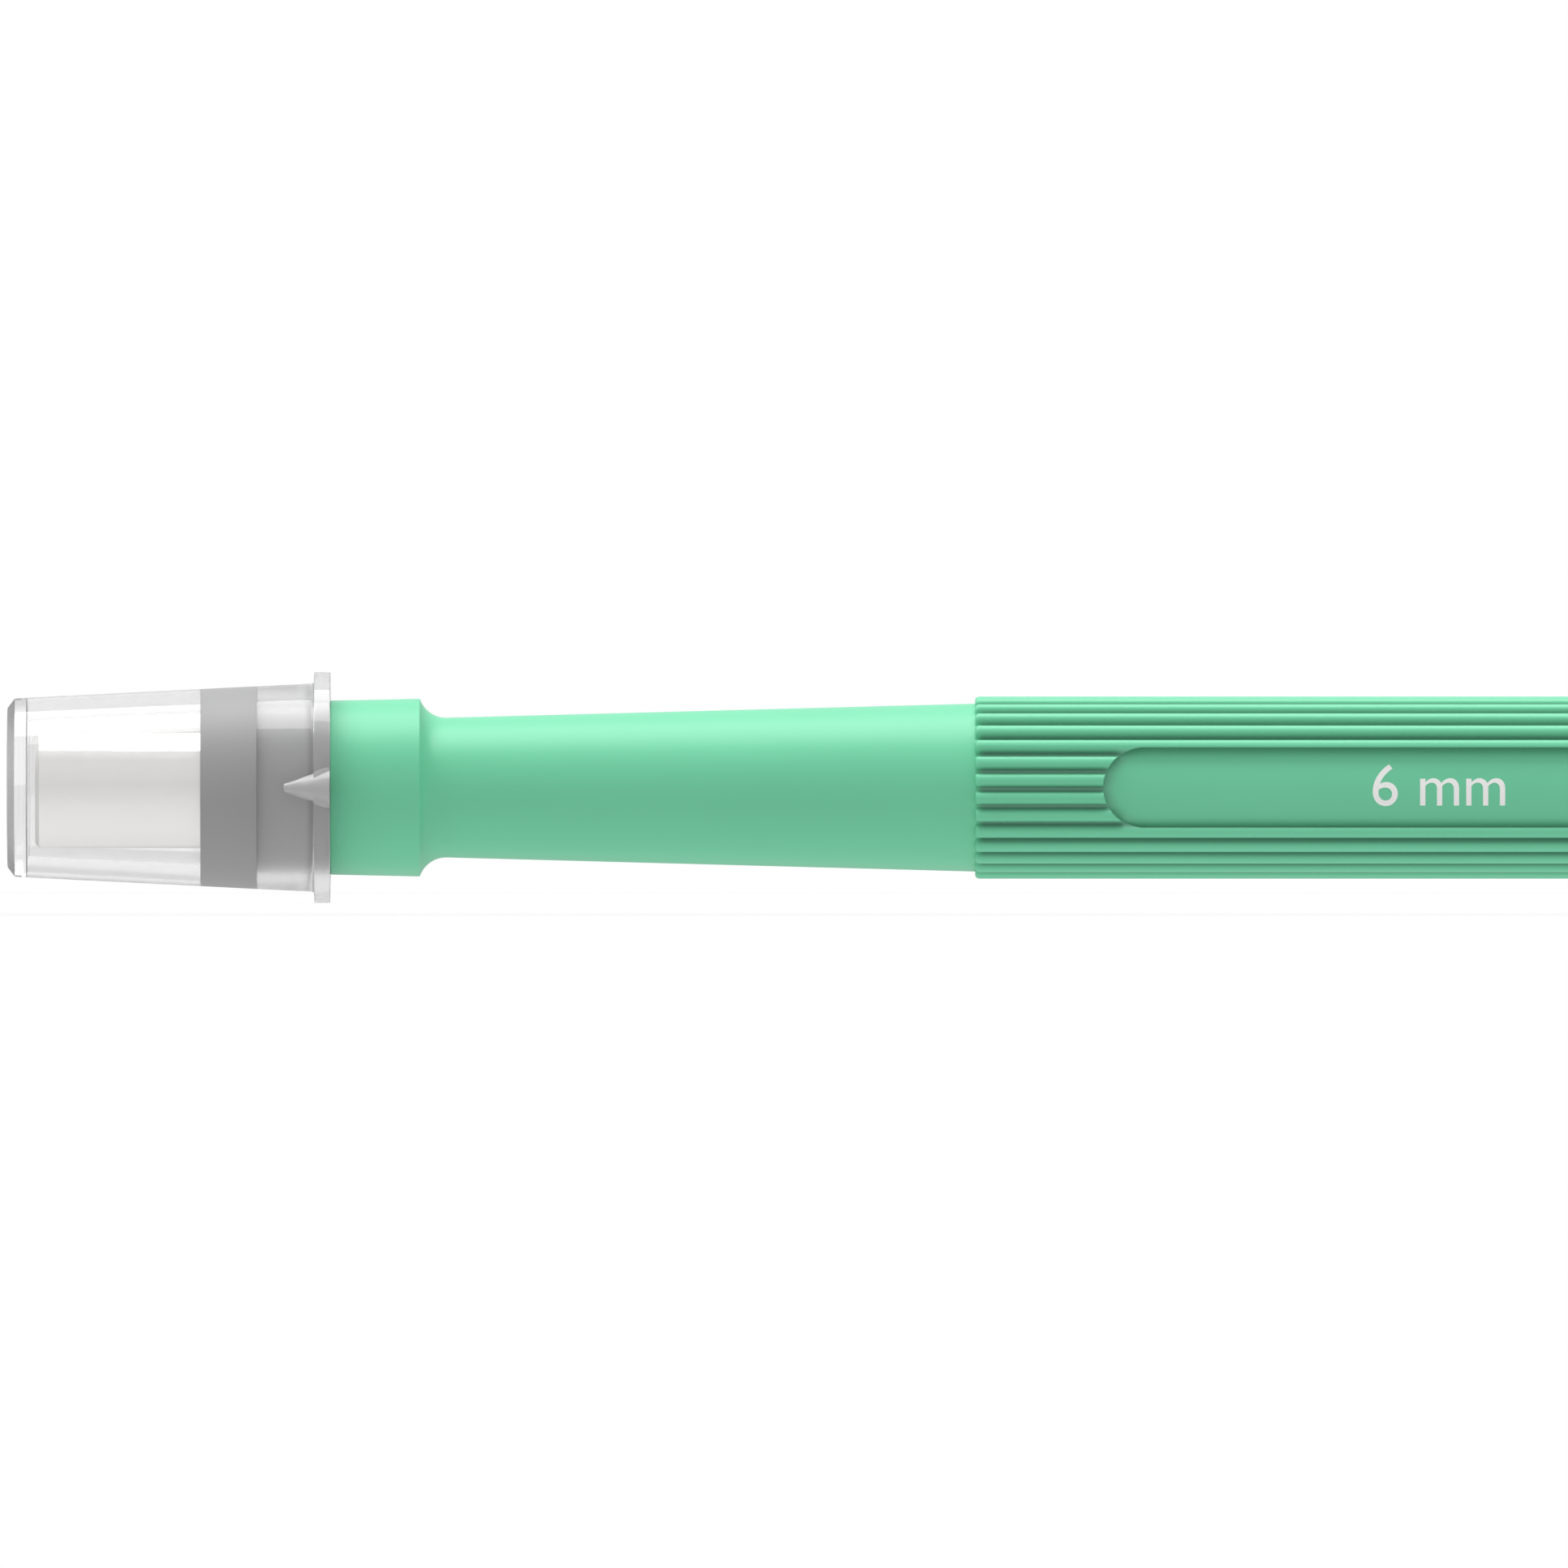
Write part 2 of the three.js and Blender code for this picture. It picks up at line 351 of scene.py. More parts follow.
def turned_loop(name, profile, sides):
    """A ring carried all the way round a closed section and welded, still in edit mode."""
    piece = start_ring(name, *profile[0], sides)
    carry_on([*profile, profile[0]])
    bpy.ops.mesh.select_all(action="SELECT")
    bpy.ops.mesh.remove_doubles(threshold=WELD)
    return piece


def round_ring(piece, x, radius, amount, segments=4):
    """Round the sharp ring at a station and radius."""
    pick_ring(piece, x, radius)
    bpy.ops.mesh.bevel(offset=amount, segments=segments, affect="EDGES")


def leave_edit(piece, smooth_below=35):
    """Weld the mesh, face it outwards and shade its round surfaces smooth."""
    bpy.ops.mesh.select_all(action="SELECT")
    bpy.ops.mesh.remove_doubles(threshold=WELD)
    bpy.ops.mesh.normals_make_consistent(inside=False)
    bpy.ops.object.mode_set(mode="OBJECT")
    smooth(piece, smooth_below)


def smooth(piece, smooth_below=35):
    """Shade smooth wherever faces meet at less than an angle in degrees."""
    bpy.ops.object.select_all(action="DESELECT")
    piece.select_set(True)
    bpy.context.view_layer.objects.active = piece
    bpy.ops.object.shade_smooth_by_angle(angle=math.radians(smooth_below))


def cut(piece, tool, operation="DIFFERENCE"):
    """Cut a piece with a tool, or join the tool to it, and throw the tool away."""
    bpy.ops.object.select_all(action="DESELECT")
    piece.select_set(True)
    bpy.context.view_layer.objects.active = piece
    modifier = piece.modifiers.new("cut", "BOOLEAN")
    modifier.operation = operation
    modifier.solver = "EXACT"
    modifier.object = tool
    bpy.ops.object.modifier_apply(modifier=modifier.name)
    bpy.data.objects.remove(tool)


def report(piece):
    """Print a piece's size and how many faces it has."""
    points = [v.co for v in piece.data.vertices]
    size = [(max(p[k] for p in points) - min(p[k] for p in points)) / MM for k in range(3)]
    print(piece.name, [round(s, 2) for s in size], "mm,", len(piece.data.polygons), "faces")


def stands_for(piece, body, node):
    """Let a finished piece take the place of its CAD node."""
    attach(piece, body)
    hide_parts(node)
    report(piece)


# %% [markdown]
# ## Handle: the ribbed grip
#
# The grip has 30 round-backed ribs with narrow flat grooves between them. It could be a cylinder
# cut thirty times, but a ring of 720 points holds 24 points for each rib, so the ribs come from
# moving points of the ring in and out. Each rib rounds off at its ends, in height and in width,
# and each groove runs out to the plain circle that the neck starts from.

# %% Rib values
RIBS = 30
RIB_POINTS = 24
SIDES = RIBS * RIB_POINTS
RIB_TURN = 2  # steps that the ribs are swung round, which puts the front groove a degree low
RIB_HEIGHT = 0.48 * MM
RIB_SHARE = 0.78  # how much of the pitch the rib takes, the rest being the groove's flat floor
RIB_ROUNDNESS = 2.4  # 2 for an elliptical back, more for a flatter one
NECK_REAR_R = 4.42 * MM
ROOT_R = GRIP_R - RIB_HEIGHT
RIB_END = [  # mm from the rib's end, how sunk the groove, how tall the rib, how wide the rib
    (0.0, 0.0, 0.5, 0.74),
    (0.03, 0.1, 0.74, 0.86),
    (0.09, 0.3, 0.9, 0.95),
    (0.16, 0.55, 0.97, 0.99),
    (0.24, 0.8, 1.0, 1.0),
    (0.4, 1.0, 1.0, 1.0),
]


def rib_radius(step, sunk=1.0, tall=1.0, wide=1.0):
    """Radius at a step of the ring, from 0 in a groove to 12 on a rib's crest."""
    groove = NECK_REAR_R + sunk * (ROOT_R - NECK_REAR_R)
    half = RIB_POINTS / 2
    across = (half - step) / half / (RIB_SHARE * wide)
    if across >= 1:
        return groove
    return groove + tall * (GRIP_R - groove) * (1 - across**RIB_ROUNDNESS) ** (1 / 2)


def step_of(point):
    """How many steps a point lies from the middle of the nearest groove."""
    turn = math.atan2(point.z, point.y) / (2 * math.pi) * SIDES
    step = (round(turn) - RIB_TURN) % RIB_POINTS
    return min(step, RIB_POINTS - step)


print("from groove to crest", [round(rib_radius(k) / MM, 2) for k in range(13)])

# %% Moving the ribs of one ring
def chosen(piece):
    """The numbers of the points that are selected in edit mode."""
    mesh = bmesh.from_edit_mesh(piece.data)
    mesh.verts.index_update()
    return [point.index for point in mesh.verts if point.select]


def choose(piece, numbers):
    """Select the points with these numbers."""
    bpy.ops.mesh.select_all(action="DESELECT")
    mesh = bmesh.from_edit_mesh(piece.data)
    mesh.verts.ensure_lookup_table()
    for number in numbers:
        mesh.verts[number].select = True
    mesh.select_flush(True)
    bmesh.update_edit_mesh(piece.data)


def raise_ribs(piece, x, old, new):
    """Bring the selected ring from one (sunk, tall, wide) shape of the ribs to another."""
    ring = chosen(piece)
    points = bmesh.from_edit_mesh(piece.data).verts
    points.ensure_lookup_table()
    steps = {number: step_of(points[number].co) for number in ring}
    for step in range(RIB_POINTS // 2 + 1):
        scale = rib_radius(step, *new) / rib_radius(step, *old)
        if scale == 1:
            continue
        choose(piece, [number for number in ring if steps[number] == step])
        bpy.ops.transform.resize(value=(1, scale, scale), center_override=(x, 0, 0))
    choose(piece, ring)


# %% The grip, from its front end to its rear end
def ribbed_grip():
    """The ribbed length, open at both ends, with the rear ring selected."""
    flat = (0.0, 0.0, 1.0)
    piece = start_ring("handle_moulding", GRIP_FRONT, NECK_REAR_R, SIDES)
    rises = [(GRIP_FRONT + far * MM, shape) for far, *shape in RIB_END]
    falls = [(GRIP_REAR - far * MM, shape) for far, *shape in reversed(RIB_END)]
    x, shape = GRIP_FRONT, flat
    for next_x, next_shape in [*rises, *falls, (GRIP_REAR, flat)]:
        step = (next_x - x, 0, 0)
        bpy.ops.mesh.extrude_edges_move(TRANSFORM_OT_translate={"value": step})
        raise_ribs(piece, next_x, shape, next_shape)
        x, shape = next_x, next_shape
    return piece


handle = ribbed_grip()
print("grip from", round(GRIP_FRONT / MM, 2), "to", round(GRIP_REAR / MM, 2), "mm")

# %% [markdown]
# ## Handle: core, neck and collar
#
# The handle is one moulding, so the same ring is carried on. At the rear it turns in and runs up
# the hollow core that every thick moulding needs. At the front it steps down to the tapered neck,
# flares through a round fillet to the collar, and turns in to the socket that holds the nose.

# %% Rear core
CORE_R = 2.9 * MM
CORE_FRONT = TIP + 30 * MM
CORE_FRONT_R = 2.2 * MM
STEM_FRONT = plug_low.x

carry_on(
    [
        (GRIP_REAR, NECK_REAR_R),
        (GRIP_REAR, CORE_R),
        (STEM_FRONT, CORE_R),
        (CORE_FRONT, CORE_FRONT_R),
    ]
)
close_ring()

# %% Neck, fillet, collar and socket
NECK_FRONT = TIP + 23.1 * MM
NECK_FRONT_R = 3.68 * MM
FILLET_R = 1.47 * MM
FILLET_STEPS = 14
COLLAR_REAR_R = 4.68 * MM
COLLAR_FRONT_R = 4.58 * MM
COLLAR_ROUNDING = 0.06 * MM
FILLET_ROUNDING = 0.03 * MM
NECK_STEP = 0.06 * MM  # a plain length between the ribs' end and the taper
SOCKET_R = 3.45 * MM
SOCKET_REAR = hub_high.x


def fillet_stations():
    """The concave quarter round from the neck up to the collar's edge."""
    centre_r = NECK_FRONT_R + FILLET_R
    last = math.acos((centre_r - COLLAR_REAR_R) / FILLET_R)
    turns = [last * k / FILLET_STEPS for k in range(FILLET_STEPS + 1)]
    return [
        (NECK_FRONT - FILLET_R * math.sin(a), centre_r - FILLET_R * math.cos(a)) for a in turns
    ]


bpy.ops.mesh.select_all(action="DESELECT")
bpy.ops.mesh.select_non_manifold(
    extend=False,
    use_wire=False,
    use_boundary=True,
    use_multi_face=False,
    use_non_contiguous=False,
    use_verts=False,
)
fillet = fillet_stations()
carry_on(
    [
        (GRIP_FRONT, NECK_REAR_R),
        (GRIP_FRONT - NECK_STEP, NECK_REAR_R),
        *fillet,
        (CAP_MOUTH, COLLAR_FRONT_R),
        (CAP_MOUTH, SOCKET_R),
        (SOCKET_REAR, SOCKET_R),
    ]
)
close_ring()
round_ring(handle, CAP_MOUTH, COLLAR_FRONT_R, COLLAR_ROUNDING)
round_ring(handle, *fillet[-1], FILLET_ROUNDING, segments=3)
leave_edit(handle)
report(handle)

# %% [markdown]
# ## Handle: the label panels
#
# A smooth sunken panel with round ends interrupts the ribs at the front, and another at the back.
# A boolean cut gives it a clean edge across the ribs. The cutting block is a circle whose right half
# is slid along to make a long round-ended outline, and its sides lean outwards a little, as a
# moulding's do. The floor isn't flat: it is the handle's round core showing between the ribs. So a
# round bar is taken out of the block first, and the block then leaves the bar's curve behind.

# %% Panels
PANEL_LEFT = TIP + 57.8 * MM
PANEL_RIGHT = TIP + 92.9 * MM
PANEL_HALF = 2.05 * MM
PANEL_FLOOR_R = 4.2 * MM
PANEL_FOOT = 3.5 * MM  # how far from the axis the cutting block starts
PANEL_OVER = 0.3 * MM  # how far it stands out past the ribs
PANEL_DRAFT = 0.12  # how far the walls lean out for each unit of depth
PANEL_SIDES = 96


def round_bar(name, start, end, radius, sides):
    """A closed bar along the axis."""
    bar = start_ring(name, start, radius, sides)
    carry_on([(start, radius), (end, radius)])
    close_ring()
    close_at(bar, start, radius)
    leave_edit(bar)
    return bar


def panel_tool(side):
    """The block that sinks one panel: side is -1 at the front and 1 at the back."""
    left = PANEL_LEFT + PANEL_HALF
    right = PANEL_RIGHT - PANEL_HALF
    height = GRIP_R - PANEL_FOOT + PANEL_OVER
    bpy.ops.object.select_all(action="DESELECT")
    bpy.ops.mesh.primitive_circle_add(
        vertices=PANEL_SIDES,
        radius=PANEL_HALF,
        fill_type="NGON",
        location=(left, side * PANEL_FOOT, 0),
        rotation=(math.radians(90), math.pi / PANEL_SIDES, 0),
    )
    tool = bpy.context.object
    bpy.ops.object.transform_apply(location=True, rotation=True, scale=True)
    bpy.ops.object.mode_set(mode="EDIT")
    pick(tool, lambda p: p.x > left)
    bpy.ops.transform.translate(value=(right - left, 0, 0))
    bpy.ops.mesh.select_all(action="SELECT")
    bpy.ops.mesh.extrude_region_move(
        TRANSFORM_OT_translate={"value": (0, side * height, 0)}
    )
    lean = (PANEL_HALF + height * PANEL_DRAFT) / PANEL_HALF
    outer = side * PANEL_FOOT + side * height / 2
    middle = (left + right) / 2
    for centre, is_here in ((left, lambda p: p.x < middle), (right, lambda p: p.x > middle)):
        pick(tool, lambda p: is_here(p) and side * p.y > side * outer)
        bpy.ops.transform.resize(
            value=(lean, 1, lean), center_override=(centre, side * outer, 0)
        )
    leave_edit(tool)
    cut(tool, round_bar("panel_floor", PANEL_LEFT - MM, PANEL_RIGHT + MM, PANEL_FLOOR_R, SIDES))
    return tool


for side in (-1, 1):
    cut(handle, panel_tool(side))
smooth(handle)
stands_for(handle, "punch", "handle_body")

# %% [markdown]
# ## End plug
#
# The handle's hollow core is closed from the rear by a plug: a stem that presses into the core and
# a flat head with a rounded rim.

# %% Plug
HEAD_R = plug_high.z
HEAD_RIM = 0.25 * MM
PLUG_SIDES = 160

plug = start_ring("rear_plug", STEM_FRONT, CORE_R, PLUG_SIDES)
carry_on(
    [
        (STEM_FRONT, CORE_R),
        (GRIP_REAR, CORE_R),
        (GRIP_REAR, HEAD_R),
        (REAR, HEAD_R),
    ]
)
close_ring()
close_at(plug, STEM_FRONT, CORE_R)
round_ring(plug, REAR, HEAD_R, HEAD_RIM, segments=6)
leave_edit(plug)
stands_for(plug, "punch", "end_plug")

# %% [markdown]
# ## Nose
#
# The grey nose grips the steel tube. Its wide front shows through the clear cap, and its narrow
# spigot is pressed into the collar. It is a ring turned all the way round its own section, so the
# profile comes back to where it began and the two ends are welded.

# %% Nose
NOSE_R = hub_high.z
NOSE_FRONT = hub_low.x
TUBE_R = blade_high.z
TUBE_REAR = blade_high.x
NOSE_VENT_R = 1.5 * MM
NOSE_CHAMFER = 0.3 * MM
NOSE_ROUNDING = 0.08 * MM
NOSE_SIDES = 160

nose_profile = [
    (NOSE_FRONT, TUBE_R),
    (NOSE_FRONT, NOSE_R - NOSE_CHAMFER),
    (NOSE_FRONT + NOSE_CHAMFER, NOSE_R),
    (CAP_MOUTH, NOSE_R),
    (CAP_MOUTH, SOCKET_R),
    (SOCKET_REAR, SOCKET_R),
    (SOCKET_REAR, NOSE_VENT_R),
    (TUBE_REAR, NOSE_VENT_R),
    (TUBE_REAR, TUBE_R),
]
nose = turned_loop("nose", nose_profile, NOSE_SIDES)
for corner in nose_profile[1:3]:
    round_ring(nose, *corner, NOSE_ROUNDING)
leave_edit(nose)
stands_for(nose, "punch", "blade_hub")

# %% [markdown]
# ## Cutting tube
#
# The blade is a thin-walled steel tube. Its rim is ground from the outside to an edge that is only a
# few hundredths of a millimetre thick, and the inside stays straight, so the core of tissue comes
# out clean.

# %% Tube
TUBE_WALL = 0.2 * MM
BORE_R = TUBE_R - TUBE_WALL
EDGE_THICKNESS = 0.03 * MM
EDGE_LENGTH = 0.22 * MM
TUBE_FRONT = blade_low.x
TUBE_SIDES = 192

tube_profile = [
    (TUBE_FRONT, BORE_R),
    (TUBE_FRONT, BORE_R + EDGE_THICKNESS),
    (TUBE_FRONT + EDGE_LENGTH, TUBE_R),
    (TUBE_REAR, TUBE_R),
    (TUBE_REAR, BORE_R),
]
tube = turned_loop("cutting_tube", tube_profile, TUBE_SIDES)
leave_edit(tube, smooth_below=20)
stands_for(tube, "punch", "punch_blade")

# %% [markdown]
# ## Protective cap
#
# The cap is one clear moulding: a flat closed tip with a chamfer, a wall that widens towards the
# flange at its mouth, a cavity that follows it, and a wider socket that pushes over the nose. Clear
# plastic shows its inner faces too, so it is modelled as a solid wall with both skins.

# %% Cap values
CAP_DRAFT = 0.05
CAP_TIP_R = 4.19 * MM
CAP_CHAMFER = 0.38 * MM
CAP_CHAMFER_R = 4.7 * MM
CAP_END_WALL = 1.1 * MM
CAVITY_R = 3.65 * MM
CAVITY_REAR_R = 4.064 * MM
CAP_STEP = TIP + 10.3 * MM
CAP_SOCKET_FRONT = CAP_STEP + 0.3 * MM
CAP_SOCKET_R = 4.54 * MM
FLANGE_FRONT = TIP + 16.15 * MM
FLANGE_R = cap_high.z
BAND_THICKNESS = 0.35 * MM
BAND_GAP = 0.01 * MM
EDGE_ROUNDING = 0.05 * MM  # at the tip, the chamfer and the flange's two edges
FLANGE_ROUNDING = 0.15 * MM  # in the corner where the flange meets the wall
CAVITY_ROUNDING = 0.08 * MM
CAP_SIDES = 192


def skin(x):
    """The radius of the cap's outside at a place along it."""
    return CAP_CHAMFER_R + CAP_DRAFT * (x - TIP - CAP_CHAMFER)


print("cap wall at the mouth", round((skin(FLANGE_FRONT) - CAP_SOCKET_R) / MM, 2), "mm")

# %% Cap shell
groove = [(x, skin(x) - BAND_THICKNESS - BAND_GAP) for x in (band_low.x, band_high.x)]
cap_profile = [
    (TIP, CAP_TIP_R),
    (TIP + CAP_CHAMFER, CAP_CHAMFER_R),
    (band_low.x, skin(band_low.x)),
    *groove,
    (band_high.x, skin(band_high.x)),
    (FLANGE_FRONT, skin(FLANGE_FRONT)),
    (FLANGE_FRONT, FLANGE_R),
    (CAP_MOUTH, FLANGE_R),
    (CAP_MOUTH, CAP_SOCKET_R),
    (CAP_SOCKET_FRONT, CAP_SOCKET_R),
    (CAP_STEP, CAVITY_REAR_R),
    (TIP + CAP_END_WALL, CAVITY_R),
]
cap = start_ring("clear_cap", *cap_profile[0], CAP_SIDES)
carry_on(cap_profile)
close_ring()
close_at(cap, *cap_profile[0])
for corner in (cap_profile[0], cap_profile[1], cap_profile[7], cap_profile[8]):
    round_ring(cap, *corner, EDGE_ROUNDING)
round_ring(cap, *cap_profile[6], FLANGE_ROUNDING)
round_ring(cap, *cap_profile[12], CAVITY_ROUNDING)
leave_edit(cap)
report(cap)

# %% [markdown]
# ## Flutes
#
# Two small half cones stand on the cap, front and back, and run out over the flange. Each is hollow
# from the cap's mouth, like a little gutter. A cone with a rounded nose, whose axis runs just under
# the cap's skin, is joined on, and a thinner cone is cut out of it. The socket's own space is kept
# off both, so that the inside of the cap stays round.

# %% Flutes
FLUTE_FRONT = TIP + 14.55 * MM
FLUTE_FRONT_R = 0.2 * MM
FLUTE_MOUTH_R = 1.05 * MM
FLUTE_WALL = 0.3 * MM
FLUTE_ROUNDING = 0.12 * MM
FLUTE_SINK = 0.05 * MM  # how far under the skin a flute's axis runs
HOLLOW_FRONT = TIP + 15.6 * MM
HOLLOW_REAR = CAP_MOUTH + 0.5 * MM
HOLLOW_FLARE = 0.15 * MM  # how much the hollow is wider there than a flute's wall would leave it
SPACE_WALL = 0.3 * MM  # how much of the cap's wall is kept off the flutes with the socket


def cone(front, rear, front_r, rear_r, side, rounding=0.0):
    """A cone along X whose axis runs just under the cap's skin, in front (-1) or behind (1)."""
    bpy.ops.object.select_all(action="DESELECT")
    axis = side * (skin(CAP_MOUTH) - FLUTE_SINK)
    bpy.ops.mesh.primitive_cone_add(
        vertices=64,
        radius1=front_r,
        radius2=rear_r,
        depth=rear - front,
        location=((front + rear) / 2, axis, 0),
        rotation=(0, math.radians(90), 0),
    )
    piece = bpy.context.object
    bpy.ops.object.transform_apply(location=True, rotation=True, scale=True)
    bpy.ops.object.mode_set(mode="EDIT")
    pick(piece, lambda p: p.x < (front + rear) / 2)
    if rounding:
        bpy.ops.mesh.bevel(offset=rounding, segments=4, affect="EDGES")
    leave_edit(piece)
    return piece


def socket_space():
    """The round space inside the cap, with a little of its wall."""
    radius = CAP_SOCKET_R + SPACE_WALL
    return round_bar("space", CAP_SOCKET_FRONT, CAP_MOUTH + MM, radius, CAP_SIDES)


for side in (-1, 1):
    outside = cone(
        FLUTE_FRONT, CAP_MOUTH, FLUTE_FRONT_R, FLUTE_MOUTH_R, side, rounding=FLUTE_ROUNDING
    )
    hollow_mouth_r = FLUTE_MOUTH_R + HOLLOW_FLARE - FLUTE_WALL
    inside = cone(HOLLOW_FRONT, HOLLOW_REAR, FLUTE_FRONT_R, hollow_mouth_r, side)
    cut(outside, socket_space())
    cut(inside, socket_space())
    cut(cap, outside, "UNION")
    cut(cap, inside)
smooth(cap)
stands_for(cap, "cap", "protective_cap")

# %% [markdown]
# ## Grey band
#
# An opaque grey ring lies in a groove round the cap, flush with the cap's skin, so it follows the
# same taper. It hides where the tube enters the nose.

# %% Band
BAND_ROUNDING = 0.02 * MM

band_profile = [
    (band_low.x, skin(band_low.x) - BAND_THICKNESS),
    (band_low.x, skin(band_low.x)),
    (band_high.x, skin(band_high.x)),
    (band_high.x, skin(band_high.x) - BAND_THICKNESS),
]
band = turned_loop("grey_band", band_profile, CAP_SIDES)
for corner in band_profile[1:3]:
    round_ring(band, *corner, BAND_ROUNDING, segments=2)
leave_edit(band)
stands_for(band, "cap", "size_band")

# %% [markdown]
# ## Printed size
#
# The front panel carries the size of the punch in white ink. A text object gives the shapes, drawn
# out into a block deep enough to pass through the round floor. It becomes a mesh before its place is
# applied, because a text object can't hold its place in its points. A film of ink follows the floor,
# so the block keeps only what it shares with a tube a hair thicker than the floor.

# %% Size mark
MARK_HEIGHT = 2.2 * MM
MARK_DEPTH = 0.5 * MM  # how far the block reaches either side of the floor
FIGURE_SHARE = 0.7  # a figure's height as a share of the font's size
INK = 0.015 * MM


def ink_tube():
    """A thin tube whose wall lies half in and half out of the panels' floor."""
    start, end = PANEL_LEFT, PANEL_RIGHT
    tube = round_bar("ink", start, end, PANEL_FLOOR_R + INK, SIDES)
    cut(tube, round_bar("ink_core", start - MM, end + MM, PANEL_FLOOR_R - INK, SIDES))
    return tube


def size_mark(words):
    """The words as a film of ink that lies on the floor of the front panel."""
    bpy.ops.object.select_all(action="DESELECT")
    place = ((PANEL_LEFT + PANEL_RIGHT) / 2, -PANEL_FLOOR_R, 0)
    bpy.ops.object.text_add(location=place, rotation=(math.radians(90), 0, 0))
    mark = bpy.context.object
    mark.data.body = words
    mark.data.align_x = "CENTER"
    mark.data.align_y = "CENTER"
    mark.data.size = MARK_HEIGHT / FIGURE_SHARE
    mark.data.resolution_u = 8
    mark.data.extrude = MARK_DEPTH
    bpy.ops.object.convert(target="MESH")
    bpy.ops.object.transform_apply(location=True, rotation=True, scale=True)
    mark = bpy.context.object
    mark.name = mark.data.name = "size_mark"
    bpy.ops.object.mode_set(mode="EDIT")
    leave_edit(mark)
    cut(mark, ink_tube(), "INTERSECT")
    smooth(mark)
    return mark


mark = size_mark("6 mm")
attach(mark, "punch")
report(mark)

# %% [markdown]
# ## Finishes
#
# Each finish is a small set of nodes that reads a piece's own coordinates in millimetres, so the
# grain stays on the piece when it moves. Noise makes the unevenness: fine noise is the grain of a
# surface, and broad noise is the slow changes that moulding leaves. Which of them drives the bump, the
# roughness or the colour differs from finish to finish.

# %% Node helpers
def new_finish(name):
    """A new material with its node tree and its shader."""
    material = bpy.data.materials.new(name)
    material.use_nodes = True
    tree = material.node_tree
    return material, tree, tree.nodes["Principled BSDF"]


def in_millimetres(tree, stretch=(1, 1, 1)):
    """The piece's own coordinates in millimetres; a stretch under 1 draws a texture out."""
    place = tree.nodes.new("ShaderNodeTexCoord")
    scale = tree.nodes.new("ShaderNodeMapping")
    scale.inputs["Scale"].default_value = [1000 * s for s in stretch]
    tree.links.new(place.outputs["Object"], scale.inputs["Vector"])
    return scale.outputs["Vector"]


def noise(tree, where, size, detail=3.0):
    """A noise whose lumps are about so many millimetres across."""
    node = tree.nodes.new("ShaderNodeTexNoise")
    node.inputs["Scale"].default_value = 1 / size
    node.inputs["Detail"].default_value = detail
    tree.links.new(where, node.inputs["Vector"])
    return node.outputs["Fac"]


def spread(tree, value, low, high):
    """A noise's middle range spread from low to high."""
    node = tree.nodes.new("ShaderNodeMapRange")
    node.inputs["From Min"].default_value = 0.3
    node.inputs["From Max"].default_value = 0.7
    node.inputs["To Min"].default_value = low
    node.inputs["To Max"].default_value = high
    tree.links.new(value, node.inputs["Value"])
    return node.outputs["Result"]


def blend(tree, fac, first, second):
    """A colour between two, by a factor."""
    node = tree.nodes.new("ShaderNodeMix")
    node.data_type = "RGBA"
    node.inputs["A"].default_value = (*first, 1)
    node.inputs["B"].default_value = (*second, 1)
    tree.links.new(fac, node.inputs["Factor"])
    return node.outputs["Result"]


def bump(tree, shader, height, depth):
    """Bump the surface by a height that runs over so many millimetres."""
    node = tree.nodes.new("ShaderNodeBump")
    node.inputs["Strength"].default_value = 1.0
    node.inputs["Distance"].default_value = depth * MM
    tree.links.new(height, node.inputs["Height"])
    tree.links.new(node.outputs["Normal"], shader.inputs["Normal"])


def shade(colour, factor):
    """A colour made darker or lighter."""
    return tuple(min(1.0, c * factor) for c in colour)


def dress(piece, material):
    """Give a piece one finish."""
    piece.data.materials.clear()
    piece.data.materials.append(material)


# %% [markdown]
# ### Moulded plastic
#
# The handle, nose and band are opaque injection mouldings from a satin mould. The surface has a
# spark-eroded grain of a few hundredths of a millimetre, the colour clouds slightly where the
# pigment flowed, and the gloss comes and goes with it. The green is painted darker in the grooves
# and round the rim of each panel's floor: painted shade where little light reaches.

# %% Places round the axis
def along_and_out(tree):
    """Distance along X and distance from the X axis."""
    place = tree.nodes.new("ShaderNodeTexCoord")
    split = tree.nodes.new("ShaderNodeSeparateXYZ")
    tree.links.new(place.outputs["Object"], split.inputs[0])
    across = tree.nodes.new("ShaderNodeVectorMath")
    across.operation = "MULTIPLY"
    across.inputs[1].default_value = (0, 1, 1)
    tree.links.new(place.outputs["Object"], across.inputs[0])
    radius = tree.nodes.new("ShaderNodeVectorMath")
    radius.operation = "LENGTH"
    tree.links.new(across.outputs["Vector"], radius.inputs[0])
    return split.outputs["X"], radius.outputs["Value"]


def fade(tree, value, start, end, low, high):
    """Low before start, high after end and a smooth change between."""
    node = tree.nodes.new("ShaderNodeMapRange")
    node.interpolation_type = "SMOOTHSTEP"
    for key, number in zip(
        ("From Min", "From Max", "To Min", "To Max"), (start, end, low, high)
    ):
        node.inputs[key].default_value = number
    tree.links.new(value, node.inputs["Value"])
    return node.outputs["Result"]


def combine(tree, operation, first, second):
    """Two values put together by a maths operation."""
    node = tree.nodes.new("ShaderNodeMath")
    node.operation = operation
    tree.links.new(first, node.inputs[0])
    tree.links.new(second, node.inputs[1])
    return node.outputs[0]


